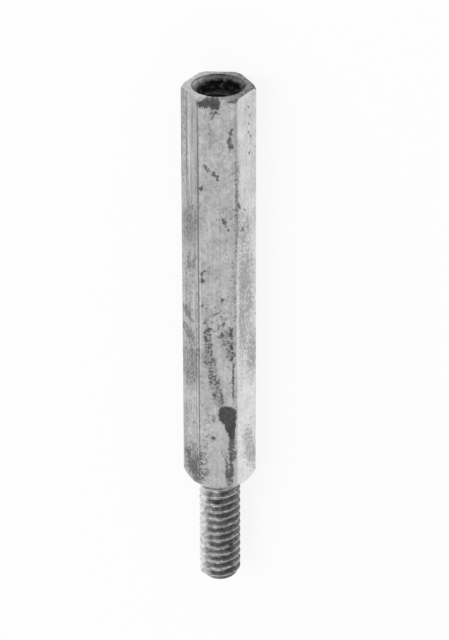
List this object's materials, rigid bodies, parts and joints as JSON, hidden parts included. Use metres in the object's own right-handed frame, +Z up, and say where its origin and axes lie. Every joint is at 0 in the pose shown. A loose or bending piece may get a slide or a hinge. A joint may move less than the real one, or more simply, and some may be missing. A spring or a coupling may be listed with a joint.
{
  "type": "hex standoff",
  "caption": "Male-female hex standoff: a hexagonal steel bar with a countersunk tapped hole in one end and a threaded stud turned on the other.",
  "frame": {"origin": "on the part's axis at the shoulder, where the stud leaves the hex body", "axes": "+X along the part's axis, from the shoulder towards the tapped end; the stud points along -X; +Z is up, square to the flat that faces up while the part lies on the opposite flat"},
  "size_m": [0.0826, 0.0108, 0.0096],
  "materials": {
    "steel": "drawn and turned steel, dull with handling, with dark oil and tarnish stains"
  },
  "bodies": {
    "root": {"hex_standoff": "steel"}
  },
  "joints": []
}
